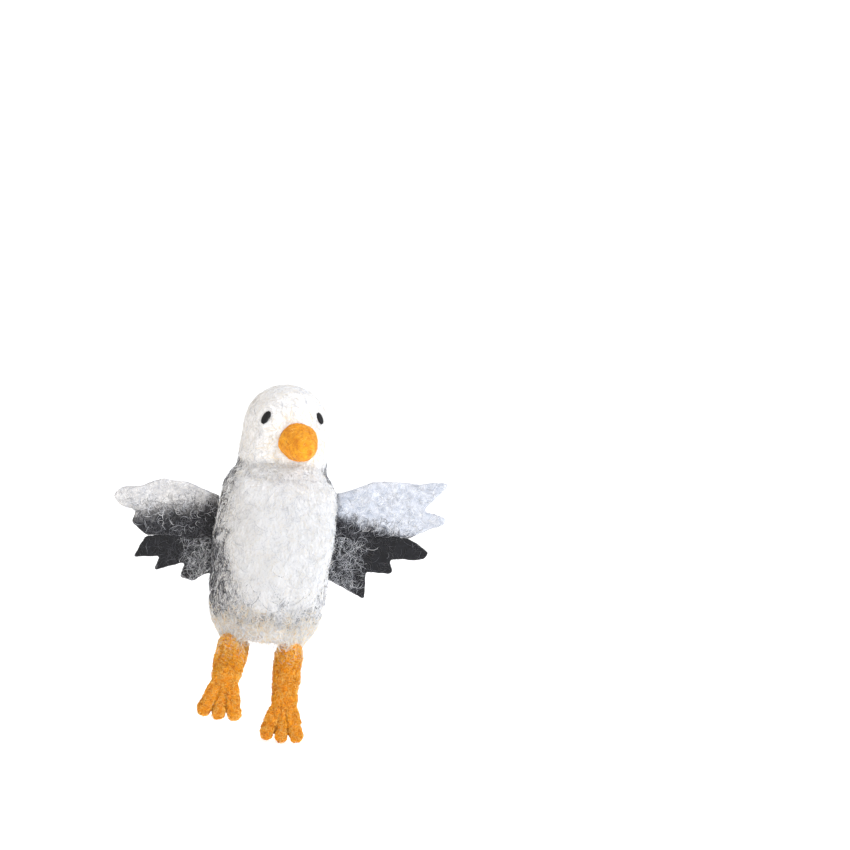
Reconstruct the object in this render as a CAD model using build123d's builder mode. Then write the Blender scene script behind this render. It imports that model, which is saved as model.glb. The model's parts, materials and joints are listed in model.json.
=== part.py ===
# Felted wool seagull finger puppet.
#
# A thick wool body is felted round a closed sleeve that takes one finger. A head, two flat wings
# and two legs with three-toed feet are felted on, each at a soft place that bends like a joint.
#
# Frame: origin at the centre of the sleeve's mouth, +Z up the finger, the gull faces -Y.
# Sides are the gull's own, so its right wing and leg are at -X. Sizes are in millimetres.

import os
from math import cos, radians, sin, sqrt, tan

from build123d import *

# ---- Finger sleeve --------------------------------------------------------------------------
finger_radius = 9.0  # bore that grips one adult finger
sleeve_wall = 2.5  # dense felt round the finger
roof_web = 1.2  # wool left between the sleeve's top and the neck's seat

# ---- Clearances -----------------------------------------------------------------------------
joint_gap = 0.3  # air between two pieces that bend against each other

# ---- Body: heights are stacked, each from the section below it ------------------------------
rim_wool = 3.2  # wool outside the sleeve at the mouth
belly_rise = 14.0
flank_rise = 13.0
chest_rise = 13.0
shoulder_rise = 10.0
collar_rise = 5.5
belly_half_width = 20.6
belly_half_depth = 18.4
low_belly_share = 0.3  # the low belly's height, as a share of the belly's
low_belly_taper = 2.7  # how much narrower it is there, and shallower
low_belly_inset = 2.0
waist_in = 0.2  # the flank and shoulders are this much narrower than the belly
shoulder_half_depth = 16.6
collar_half_width = 16.6
collar_flat = 1.2  # how much shallower the collar is than it is wide
collar_taper = 1.6  # how much narrower the top is than the collar
mouth_flat = 0.7
neck_lip = 1.0  # the body's blank runs this far above the neck's centre
mouth_forward = 0.2  # how far each section stands in front of the axis
low_belly_forward = 0.5
belly_forward = 0.9
breast_forward = 1.2
shoulder_forward = 0.5
fleece_thickness = 2.0  # white breast and grey mantle layers over the body wool

# ---- Neck and head --------------------------------------------------------------------------
neck_ball_radius = 8.0
neck_lift = 3.5  # the neck's centre above the collar
shoulder_slope = 14.0  # degrees that the body's top falls away from the neck
jaw_slope = 11.0  # degrees that the head's underside rises away from the neck
head_radius = 15.2
jaw_height = 13.6  # from the neck's centre to the middle of the head's round crown
jaw_round = 2.4
head_turn = 10.0  # degrees that the face looks to the gull's left

# ---- Face -----------------------------------------------------------------------------------
beak_radius = 6.7
beak_length = 12.5  # from its seat inside the head to its blunt tip
beak_seat_depth = 2.0
beak_rise = -3.9  # above the middle of the head
beak_droop = 14.0
beak_full = 0.3  # share of its length over which it keeps its full radius
beak_shoulder = (0.82, 0.7)  # shares of its radius and length where it turns in to the tip
beak_turn = 8.0  # further round than the face
eye_half_width = 1.6
eye_half_height = 2.5
eye_depth = 0.9  # how far the stitches of an eye go into the head
eye_proud = 0.6  # how far they stand out of it
eye_spread = 39.0  # degrees either side of the face's middle
eye_rise = 3.8  # above the middle of the head
eye_offset = 0.9  # the head is carried tilted, so one eye is this much higher, the other lower
eye_lean = 22.0

# ---- Wings ----------------------------------------------------------------------------------
covert_thickness = 3.2
flight_thickness = 2.6
tab_thickness = 1.4  # the flight sheet's tab inside the coverts
tab_reach = 5.0
tab_lap = 1.0  # how far the tab starts inside the flight sheet
tab_share = 0.8  # its length, as a share of the distance to the first notch
root_roll_radius = 1.9
wing_stand_off = 1.2  # the root line outside the body's flank
wing_line_y = 2.0  # the wings lie a little behind the axis
tip_round = 0.9
notch_round = 0.45

# Each wing is cut by hand. Points are (out from the root line, up from the root's lower corner).
# The covert points run along the leading edge and round two light feathers, and the flight
# points round three black feathers, back to the root.
right_wing = {
    "side": -1,
    "root_base": 20.6,
    "root_height": 27.8,
    "leading": [(10.5, 30.7), (18.2, 30.8), (25.0, 28.0), (31.8, 26.2)],
    "coverts": [(34.6, 23.6), (32.0, 20.6), (25.8, 19.0), (27.2, 15.0), (21.6, 11.1)],
    "covert_edge": 12.0,
    "flights": [(25.4, 3.3), (16.4, 4.3), (18.0, -0.9), (7.4, 3.7), (8.5, -2.0), (4.6, -2.6)],
}
left_wing = {
    "side": 1,
    "root_base": 22.5,
    "root_height": 31.0,
    "leading": [(11.2, 35.6), (18.8, 36.7), (27.4, 36.9)],
    "coverts": [(37.4, 38.4), (28.0, 27.3), (36.6, 26.4), (36.0, 24.0), (24.2, 17.8)],
    "covert_edge": 15.5,
    "flights": [(31.8, 13.4), (30.4, 11.0), (18.4, 9.6), (20.4, 4.9), (11.0, 4.5), (11.4, -4.6)],
}

# ---- Legs and feet --------------------------------------------------------------------------
hip_ball_radius = 4.5
hip_web = 1.05  # sleeve wall left between the finger and a hip's seat
hip_drop = 2.0  # hip centre below the mouth
hip_spread = 39.0  # degrees either side of the front
ankle_ball_radius = 4.1
leg_over_ball = 0.1  # how much wider the leg is than the ball at each end
leg_length = 17.0  # from hip centre to ankle centre
ankle_opening = 2.0  # the leg's wool stops this far above the ankle's centre
instep_half_depth = 2.6
instep_top_half_width = 3.4
instep_half_width = 6.0
instep_length = 9.0
instep_corner = 0.8  # share of its length and width where its lower corners are cut
toe_radius = 2.35
toe_start = 7.0  # a toe's upper centre below the ankle
toe_length = 4.4
side_toe_shift = 3.1
side_toe_angle = 24.0

# How each leg is carried: degrees forward for the leg and the foot, degrees outward, and how far
# the leg then swings back and forward from there.
right_leg = {"side": -1, "leg_pitch": 51.0, "foot_pitch": 10.0, "splay": 4.5, "back": 50.0, "forward": 14.0}
left_leg = {"side": 1, "leg_pitch": 5.0, "foot_pitch": 12.0, "splay": 1.0, "back": 10.0, "forward": 50.0}
splay_room = 1.2  # extra side room in a hip's notch

# ---- Worked-out places ----------------------------------------------------------------------
sleeve_radius = finger_radius + sleeve_wall
leg_top_radius = hip_ball_radius + leg_over_ball
leg_ankle_radius = ankle_ball_radius + leg_over_ball
belly_z = belly_rise
flank_z = belly_z + flank_rise
chest_z = flank_z + chest_rise
shoulder_z = chest_z + shoulder_rise
collar_z = shoulder_z + collar_rise
neck_z = collar_z + neck_lift
low_belly_z = belly_z * low_belly_share
low_belly_half_width = belly_half_width - low_belly_taper
low_belly_half_depth = belly_half_depth - low_belly_inset
mouth_half_width = sleeve_radius + rim_wool
top_half_width = collar_half_width - collar_taper
neck_seat_radius = neck_ball_radius + joint_gap
bore_length = neck_z - neck_seat_radius - roof_web - sleeve_wall - finger_radius
head_z = neck_z + jaw_height
hip_seat_radius = hip_ball_radius + joint_gap
hip_distance = finger_radius + hip_web + hip_seat_radius
wing_line_x = belly_half_width + wing_stand_off
root_groove_radius = root_roll_radius + joint_gap

os.makedirs("parts", exist_ok=True)
finished = []


def keep(builder, name):
    """Labels a finished piece and writes its own file."""
    builder.part.label = name
    export_step(builder.part, f"parts/{name}.step")
    finished.append(name)


# ---- Shapes that several pieces are cut from ------------------------------------------------
def body_form(inset):
    """The body's outside, taken in by inset all round: ellipses lofted from the mouth to the neck."""
    sections = [
        (0, mouth_half_width, mouth_half_width - mouth_flat, mouth_forward),
        (low_belly_z, low_belly_half_width, low_belly_half_depth, low_belly_forward),
        (belly_z, belly_half_width, belly_half_depth, belly_forward),
        (flank_z, belly_half_width - waist_in, belly_half_depth, breast_forward),
        (chest_z, belly_half_width, belly_half_depth, breast_forward),
        (shoulder_z, belly_half_width - waist_in, shoulder_half_depth, shoulder_forward),
        (collar_z, collar_half_width, collar_half_width - collar_flat, 0),
        (neck_z + neck_lip, top_half_width, top_half_width, 0),
    ]
    with BuildPart() as form:
        for height, half_width, half_depth, forward in sections:
            with BuildSketch(Plane.XY.offset(height)):
                with Locations((0, -forward)):
                    Ellipse(half_width - inset, half_depth - inset)
        loft()
    return form.part


def neck_wedge():
    """The open wedge above the shoulders that lets the head nod."""
    reach = 2 * belly_half_width
    fall = reach * tan(radians(shoulder_slope))
    with BuildPart() as wedge:
        with BuildSketch(Plane.XZ):
            wedge_top = neck_z + reach
            Polygon((0, neck_z), (reach, neck_z - fall), (reach, wedge_top), (0, wedge_top), align=None)
        revolve()
    return wedge.part


def hip_centre(leg):
    spread = radians(hip_spread)
    return Vector(leg["side"] * hip_distance * sin(spread), -hip_distance * cos(spread), -hip_drop)


def leg_frame(leg):
    """At the hip, with +Z running up the leg."""
    return Plane(Location(hip_centre(leg), (-leg["leg_pitch"], -leg["side"] * leg["splay"], 0)))


def foot_frame(leg):
    """At the ankle, with +Z running up the foot."""
    ankle = leg_frame(leg).from_local_coords(Vector(0, 0, -leg_length))
    return Plane(Location(ankle, (-leg["foot_pitch"], -leg["side"] * leg["splay"], 0)))


def hip_notch(leg):
    """The room that a leg sweeps as it swings, to be cut from the body's edge."""
    centre = hip_centre(leg)
    radius = max(leg_top_radius, hip_ball_radius) + joint_gap
    reach = 1.2 * leg_length
    with BuildPart() as notch:
        with BuildSketch(Plane.YZ.offset(centre.X)):
            with Locations((centre.Y, centre.Z)):
                Circle(radius)
            for pitch in (leg["leg_pitch"] - leg["back"], leg["leg_pitch"] + leg["forward"]):
                end = (centre.Y - reach * sin(radians(pitch)), centre.Z - reach * cos(radians(pitch)))
                with Locations(end):
                    Circle(radius)
            make_hull()
        extrude(amount=radius + splay_room, both=True)
    return notch.part


def root_line(wing):
    """The line that a wing bends about: at the root's lower corner, with +Z up the root."""
    return Plane(origin=(wing["side"] * wing_line_x, wing_line_y, wing["root_base"]))


def root_groove(wing):
    with BuildPart(root_line(wing)) as groove:
        with Locations((0, 0, wing["root_height"] / 2)):
            Cylinder(root_groove_radius, wing["root_height"] + 2 * joint_gap)
    return groove.part


def sleeve_form(radius, length):
    """A finger-shaped solid: a cylinder from the mouth with a domed end."""
    with BuildPart() as form:
        Cylinder(radius, length, align=(Align.CENTER, Align.CENTER, Align.MIN))
        with Locations((0, 0, length)):
            Sphere(radius)
        split(bisect_by=Plane.XY)
    return form.part


# ---- Body -----------------------------------------------------------------------------------
hip_seats = []
for leg in (right_leg, left_leg):
    with BuildPart(Plane(origin=hip_centre(leg))) as seat:
        Sphere(hip_seat_radius)
    hip_seats.append(seat.part)
notches = [hip_notch(leg) for leg in (right_leg, left_leg)]
grooves = [root_groove(wing) for wing in (right_wing, left_wing)]
wedge = neck_wedge()
core_form = body_form(fleece_thickness)
sleeve_outside = sleeve_form(sleeve_radius, bore_length)

with BuildPart() as finger_sleeve:
    add(sleeve_outside)
    add(sleeve_form(finger_radius, bore_length), mode=Mode.SUBTRACT)
    add(hip_seats, mode=Mode.SUBTRACT)
keep(finger_sleeve, "finger_sleeve")

with BuildPart() as body_wool:
    add(core_form)
    add([sleeve_outside, wedge, *hip_seats, *notches, *grooves], mode=Mode.SUBTRACT)
    with Locations((0, 0, neck_z)):
        Sphere(neck_seat_radius, mode=Mode.SUBTRACT)
keep(body_wool, "body_wool")

# The fleece is one layer round the body, parted at the wings into a white front and a grey back.
for name, kept_side in (("chest_fleece", Keep.BOTTOM), ("mantle_fleece", Keep.TOP)):
    with BuildPart() as fleece:
        add(body_form(0))
        add([core_form, wedge, *hip_seats, *notches, *grooves], mode=Mode.SUBTRACT)
        with Locations((0, 0, neck_z)):
            Sphere(neck_seat_radius, mode=Mode.SUBTRACT)
        split(bisect_by=Plane(origin=(0, wing_line_y, 0), z_dir=(0, 1, 0)), keep=kept_side)
    keep(fleece, name)

# ---- Neck -----------------------------------------------------------------------------------
with BuildPart(Plane.XY.offset(neck_z)) as neck_wool:
    Sphere(neck_ball_radius)
keep(neck_wool, "neck_wool")


# ---- Face pieces, in frames on the head's surface -------------------------------------------
def head_radius_at(rise):
    """The head's radius at a height above the middle of its crown: straight below it, round above."""
    return sqrt(head_radius**2 - max(rise, 0) ** 2)


def face_frame(turn, rise, sunk, lean=0.0, pitch=0.0):
    """At the head's surface, with +Z pointing out of it and +Y up the face."""
    out = head_radius_at(rise) - sunk
    facing = radians(head_turn + turn)
    place = (out * sin(facing), -out * cos(facing), head_z + rise)
    upright = Plane(origin=place, x_dir=(cos(facing), sin(facing), 0), z_dir=(sin(facing), -cos(facing), 0))
    return Plane(upright * Rotation(pitch, 0, lean))


beak_frame = face_frame(beak_turn, beak_rise, beak_seat_depth, pitch=beak_droop)
with BuildPart() as beak:
    with BuildSketch(Plane(beak_frame * Plane.XZ)):
        with BuildLine():
            outline = Spline(
                (beak_radius, 0),
                (beak_radius, beak_full * beak_length),
                (beak_shoulder[0] * beak_radius, beak_shoulder[1] * beak_length),
                (0, beak_length),
                tangents=((0, 1), (-1, 0)),
            )
            Polyline(outline @ 1, (0, 0), outline @ 0)
        make_face()
    revolve(axis=Axis(beak_frame.origin, beak_frame.z_dir))
keep(beak, "beak")

eyes = []
for name, side in (("eye_right", -1), ("eye_left", 1)):
    rise = eye_rise + side * eye_offset
    frame = face_frame(side * eye_spread, rise, eye_depth, lean=side * eye_lean)
    with BuildPart() as eye:
        with BuildSketch(frame):
            Ellipse(eye_half_width, eye_half_height)
        extrude(amount=eye_depth + eye_proud)
    keep(eye, name)
    eyes.append(eye.part)

# ---- Head -----------------------------------------------------------------------------------
with BuildPart() as head_wool:
    with BuildSketch(Plane.XZ):
        with BuildLine():
            crown = CenterArc((0, head_z), head_radius, 0, 90)
            jaw_edge = (head_radius, neck_z + head_radius * tan(radians(jaw_slope)))
            Polyline(crown @ 1, (0, neck_z), jaw_edge, crown @ 0)
        make_face()
    revolve()
    jaw = head_wool.edges().filter_by(GeomType.CIRCLE).group_by(Axis.Z)[0]
    fillet(jaw, jaw_round)
    with Locations((0, 0, neck_z)):
        Sphere(neck_seat_radius, mode=Mode.SUBTRACT)
    add([beak.part, *eyes], mode=Mode.SUBTRACT)
keep(head_wool, "head_wool")


# ---- Wings ----------------------------------------------------------------------------------
def wing_side(name, wing):
    """Black flight feathers with a tab inside the lighter coverts, and a root roll along the body."""
    side = wing["side"]
    base = wing["root_base"]

    def outline(points):
        return [(side * (wing_line_x + out), base + up) for out, up in points]

    def extrusion(points, thickness, rounding):
        with BuildPart() as piece:
            with BuildSketch(Plane.XZ.offset(-wing_line_y)) as cut:
                Polygon(*outline(points), align=None)
                fillet([v for v in cut.vertices() if abs(v.X) > wing_line_x + rounding], rounding)
            extrude(amount=thickness / 2, both=True)
        return piece.part

    edge = wing["covert_edge"]
    notch = wing["coverts"][-1]
    top = wing["root_height"]
    covert_points = [(0, edge), (0, top), *wing["leading"], *wing["coverts"]]
    flight_points = [(0, edge), notch, *wing["flights"], (0, 0)]
    tab_end = tab_share * notch[0]
    tab_points = [
        (0, edge - tab_lap),
        (0, edge + tab_reach),
        (tab_end, notch[1] + tab_reach),
        (tab_end, notch[1] - tab_lap),
    ]

    def roll(low, high):
        with BuildPart(root_line(wing)) as piece:
            with Locations((0, 0, (low + high) / 2)):
                Cylinder(root_roll_radius, high - low)
        return piece.part

    with BuildPart() as flights:
        add(extrusion(flight_points, flight_thickness, notch_round))
        add(extrusion(tab_points, tab_thickness, notch_round))
        add(roll(joint_gap, edge))
    keep(flights, f"{name}_flight_feathers")

    with BuildPart() as coverts:
        add(extrusion(covert_points, covert_thickness, tip_round))
        add(roll(edge, top - joint_gap))
        add(flights.part, mode=Mode.SUBTRACT)
    keep(coverts, f"{name}_coverts")


wing_side("wing_right", right_wing)
wing_side("wing_left", left_wing)


# ---- Legs -----------------------------------------------------------------------------------
def toe_solid(frame, shift, angle):
    """A short roll of wool with round ends, angled out from the foot's middle."""
    with BuildPart(Plane(frame * Location((shift, 0, -toe_start), (0, -angle, 0)))) as toe:
        with Locations((0, 0, -toe_length / 2)):
            Cylinder(toe_radius, toe_length)
        with Locations((0, 0, 0), (0, 0, -toe_length)):
            Sphere(toe_radius)
    return toe


def leg_side(name, leg):
    """A hip tuft, a leg roll between two round seats, an instep pad with its ankle, and three toes."""
    with BuildPart(Plane(origin=hip_centre(leg))) as hip:
        Sphere(hip_ball_radius)
    keep(hip, f"hip_wool_{name}")

    roll_length = leg_length - ankle_opening
    with BuildPart(leg_frame(leg)) as roll:
        with Locations((0, 0, -roll_length / 2)):
            Cone(leg_ankle_radius, leg_top_radius, roll_length)
        Sphere(hip_seat_radius, mode=Mode.SUBTRACT)
        with Locations((0, 0, -leg_length)):
            Sphere(ankle_ball_radius + joint_gap, mode=Mode.SUBTRACT)
    keep(roll, f"leg_{name}")

    frame = foot_frame(leg)
    toes = {
        "middle": toe_solid(frame, 0, 0),
        "inner": toe_solid(frame, -leg["side"] * side_toe_shift, -leg["side"] * side_toe_angle),
        "outer": toe_solid(frame, leg["side"] * side_toe_shift, leg["side"] * side_toe_angle),
    }
    for place in ("inner", "outer"):
        toes[place].part -= toes["middle"].part
    for place, toe in toes.items():
        keep(toe, f"toe_{name}_{place}")

    instep_side = [
        (instep_top_half_width, 0),
        (instep_half_width, -instep_corner * instep_length),
        (instep_corner * instep_half_width, -instep_length),
    ]
    with BuildPart() as instep:
        with BuildSketch(Plane(frame * Plane.XZ)):
            Polygon(*instep_side, *[(-x, z) for x, z in reversed(instep_side)], align=None)
        extrude(amount=instep_half_depth, both=True)
        with Locations(frame):
            Sphere(ankle_ball_radius)
        add([toe.part for toe in toes.values()], mode=Mode.SUBTRACT)
    keep(instep, f"instep_{name}")


leg_side("right", right_leg)
leg_side("left", left_leg)

print(len(finished), "pieces:", ", ".join(finished))
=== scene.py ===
import json
import math

import bmesh
import bpy
import numpy as np
from mathutils import Matrix, Vector, noise
from mathutils.bvhtree import BVHTree


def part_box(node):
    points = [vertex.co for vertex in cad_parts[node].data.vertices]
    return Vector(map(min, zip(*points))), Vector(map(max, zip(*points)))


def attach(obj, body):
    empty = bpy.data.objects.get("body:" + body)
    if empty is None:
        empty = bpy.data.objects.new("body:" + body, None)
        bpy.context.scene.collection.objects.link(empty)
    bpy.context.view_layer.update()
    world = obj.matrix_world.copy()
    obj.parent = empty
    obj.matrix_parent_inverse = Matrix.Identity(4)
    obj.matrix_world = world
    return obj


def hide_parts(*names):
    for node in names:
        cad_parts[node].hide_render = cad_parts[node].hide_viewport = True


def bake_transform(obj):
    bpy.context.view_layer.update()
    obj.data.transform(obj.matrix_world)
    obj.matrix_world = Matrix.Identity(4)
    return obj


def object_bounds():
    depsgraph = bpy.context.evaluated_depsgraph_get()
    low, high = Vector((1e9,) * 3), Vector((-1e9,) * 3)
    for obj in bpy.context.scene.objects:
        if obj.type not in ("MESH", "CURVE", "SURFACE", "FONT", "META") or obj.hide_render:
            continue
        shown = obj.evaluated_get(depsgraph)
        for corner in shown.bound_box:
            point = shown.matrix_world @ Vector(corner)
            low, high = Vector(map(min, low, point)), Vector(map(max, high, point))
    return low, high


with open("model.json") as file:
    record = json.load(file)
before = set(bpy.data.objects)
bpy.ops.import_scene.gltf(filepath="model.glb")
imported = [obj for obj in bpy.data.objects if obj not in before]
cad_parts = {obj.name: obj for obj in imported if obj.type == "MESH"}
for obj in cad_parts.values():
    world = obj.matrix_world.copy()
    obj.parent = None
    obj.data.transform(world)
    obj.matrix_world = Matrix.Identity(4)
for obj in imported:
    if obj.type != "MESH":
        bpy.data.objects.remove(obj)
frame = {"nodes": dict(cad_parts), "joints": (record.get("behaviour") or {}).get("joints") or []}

cad_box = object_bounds()
mm = 0.001

# ---- Finger sleeve --------------------------------------------------------------------------
# A closed tube of dense off-white wool, wet-felted round a former the size of a finger. It is the
# innermost layer, and shows only from below, as the pocket's mouth and bore.


def linear(code):
    """An sRGB hex colour as linear RGBA."""
    channels = [int(code[i : i + 2], 16) / 255 for i in (1, 3, 5)]
    return (*[c / 12.92 if c <= 0.04045 else ((c + 0.055) / 1.055) ** 2.4 for c in channels], 1.0)


def add_node(material, kind, settings=(), links=()):
    """Adds a node, sets its properties and inputs, and links its inputs to other nodes' outputs."""
    node = material.node_tree.nodes.new(kind)
    for key, value in dict(settings).items():
        if isinstance(key, str) and hasattr(node, key):
            setattr(node, key, value)
        else:
            node.inputs[key].default_value = value
    for key, socket in dict(links).items():
        material.node_tree.links.new(socket, node.inputs[key])
    return node


def matt_material(name, inputs):
    """A material on one principled shader, with its inputs set."""
    material = bpy.data.materials.new(name)
    material.use_nodes = True
    shader = material.node_tree.nodes["Principled BSDF"]
    for key, value in inputs.items():
        shader.inputs[key].default_value = value
    return material, shader


keratin_ior = 1.54


def felt(name, light, dark, hair=0.45, patch=4.0, bump=0.5, sheen=0.25):
    """Felted wool, which gives the eye a matt tangle with slow changes of tone. Sizes are in mm.

    A real wool hair is 0.03 to 0.04 mm thick. That is too fine to show, so hair, the scale of the
    tangle, is about twelve times as coarse.
    """
    material, shader = matt_material(
        name, {"Roughness": 0.92, "IOR": keratin_ior, "Sheen Weight": sheen, "Sheen Roughness": 0.45}
    )
    place = add_node(material, "ShaderNodeTexCoord").outputs["Object"]
    hairs = add_node(
        material,
        "ShaderNodeTexNoise",
        {"Scale": 1 / (hair * mm), "Detail": 3.0, "Roughness": 0.6, "Distortion": 1.6},
        {"Vector": place},
    )
    patches = add_node(
        material,
        "ShaderNodeTexNoise",
        {"Scale": 1 / (patch * mm), "Detail": 4.0, "Roughness": 0.55, "Distortion": 0.4},
        {"Vector": place},
    )
    # Each noise averages a half, so their sum is spread a little to both sides of one.
    both = add_node(
        material,
        "ShaderNodeMath",
        {"operation": "ADD"},
        {0: hairs.outputs["Fac"], 1: patches.outputs["Fac"]},
    )
    tone = add_node(
        material,
        "ShaderNodeMapRange",
        {"From Min": 0.78, "From Max": 1.22},
        {"Value": both.outputs["Value"]},
    )
    colour = add_node(
        material,
        "ShaderNodeMix",
        {"data_type": "RGBA", 6: linear(dark), 7: linear(light)},
        {0: tone.outputs["Result"]},
    )
    relief = add_node(
        material,
        "ShaderNodeBump",
        {"Strength": bump, "Distance": 0.35 * mm},
        {"Height": hairs.outputs["Fac"]},
    )
    material.node_tree.links.new(colour.outputs[2], shader.inputs["Base Color"])
    material.node_tree.links.new(relief.outputs["Normal"], shader.inputs["Normal"])
    return material


def make_piece(name, points, faces, material):
    """A mesh object from points in metres."""
    mesh = bpy.data.meshes.new(name)
    mesh.from_pydata([tuple(p) for p in points], [], faces)
    mesh.materials.append(material)
    piece = bpy.data.objects.new(name, mesh)
    bpy.context.scene.collection.objects.link(piece)
    mesh.polygons.foreach_set("use_smooth", [True] * len(mesh.polygons))
    return piece


def tube_faces(rings, sides):
    """The sides of a tube whose points come ring by ring."""
    faces = []
    for k in range(rings - 1):
        for i in range(sides):
            j = (i + 1) % sides
            faces.append((k * sides + i, k * sides + j, (k + 1) * sides + j, (k + 1) * sides + i))
    return faces


def loft(name, rings, sides, material, frame_at=Matrix.Identity(4)):
    """A closed skin through oval rings, in mm, each (height, half width, half depth, forward)."""
    points = []
    for height, half_width, half_depth, forward in rings:
        for i in range(sides):
            turn = 2 * math.pi * i / sides
            across, ahead = half_width * math.sin(turn), half_depth * math.cos(turn) + forward
            points.append(frame_at @ (Vector((across, -ahead, height)) * mm))
    faces = tube_faces(len(rings), sides)
    for k, step in ((0, -1), (len(rings) - 1, 1)):
        pole = sum((points[k * sides + i] for i in range(sides)), Vector()) / sides
        points.append(pole)
        for i in range(sides):
            pair = (k * sides + i, k * sides + (i + 1) % sides)
            faces.append((len(points) - 1, *(pair[::-1] if step < 0 else pair)))
    piece = make_piece(name, points, faces, material)
    turn_outward(piece)
    return piece


def turn_outward(piece):
    """Makes every face look out of the solid."""
    work = bmesh.new()
    work.from_mesh(piece.data)
    bmesh.ops.recalc_face_normals(work, faces=work.faces)
    work.to_mesh(piece.data)
    work.free()


def apply_modifiers(piece):
    """Turns what the modifiers make of a piece into its own mesh."""
    seen = piece.evaluated_get(bpy.context.evaluated_depsgraph_get())
    mesh = bpy.data.meshes.new_from_object(seen)
    piece.modifiers.clear()
    old, piece.data = piece.data, mesh
    bpy.data.meshes.remove(old)


def round_off(piece, levels):
    """Smooths a coarse skin into a fine one."""
    piece.modifiers.new("round", "SUBSURF").levels = levels
    apply_modifiers(piece)


def lump(piece, waves, seed):
    """Pushes the surface in and out by smooth noise. Each wave is (size, height) in mm."""
    mesh = piece.data
    shift = Vector((seed * 7.3, seed * 3.1, seed * 5.7))
    for vertex, normal in zip(mesh.vertices, [n.vector.copy() for n in mesh.vertex_normals]):
        push = sum(high * noise.noise(vertex.co / (size * mm) + shift) for size, high in waves)
        vertex.co += normal * (push * mm)


# Unbleached wool, pressed dense: it gives the eye a dull, even off-white inside the pocket.
sleeve_felt = felt("dense_sleeve_felt", "#d9d2c7", "#aaa093", hair=0.5, patch=5)
bore = 9.0
sleeve_wall = 2.4
sleeve_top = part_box("finger_sleeve")[1].z / mm
finger_sleeve = loft(
    "finger_sleeve_felt",
    [
        (sleeve_top - 2.5, 2.0, 2.0, 0),
        (sleeve_top - 3.5, 5.6, 5.6, 0),
        (sleeve_top - 8, bore - 0.3, bore - 0.3, 0),
        (sleeve_top - 14, bore, bore, 0),
        (18, bore, bore, 0),
        (3, bore, bore, 0),
        (0.4, bore + 0.2, bore + 0.2, 0),
        (-0.5, bore + 1.2, bore + 1.2, 0),
        (0.5, bore + 2.2, bore + 2.2, 0),
        (18, bore + sleeve_wall, bore + sleeve_wall, 0),
        (sleeve_top - 12, bore + sleeve_wall, bore + sleeve_wall, 0),
        (sleeve_top - 3, 7.0, 7.0, 0),
        (sleeve_top - 0.3, 2.5, 2.5, 0),
    ],
    24,
    sleeve_felt,
)
round_off(finger_sleeve, 2)
lump(finger_sleeve, [(5, 0.35), (1.6, 0.12)], seed=1)
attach(finger_sleeve, "body")
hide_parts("finger_sleeve")

# ---- Body -----------------------------------------------------------------------------------
# The core is grey and white wool teased together and felted round the sleeve, so its surface is a
# salt-and-pepper tangle. It is cream at the mouth and darkest along the flank by the right wing.


def wool(name, code, sheen=0.2):
    """One tone of wool hair: scaly keratin, which gives the eye a nearly matt strand."""
    return matt_material(name, {
        "Base Color": linear(code), "Roughness": 0.75, "IOR": keratin_ior, "Sheen Weight": sheen
    })[0]


def unit(vectors):
    """Each row at length one."""
    return vectors / np.maximum(np.linalg.norm(vectors, axis=1, keepdims=True), 1e-12)


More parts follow.
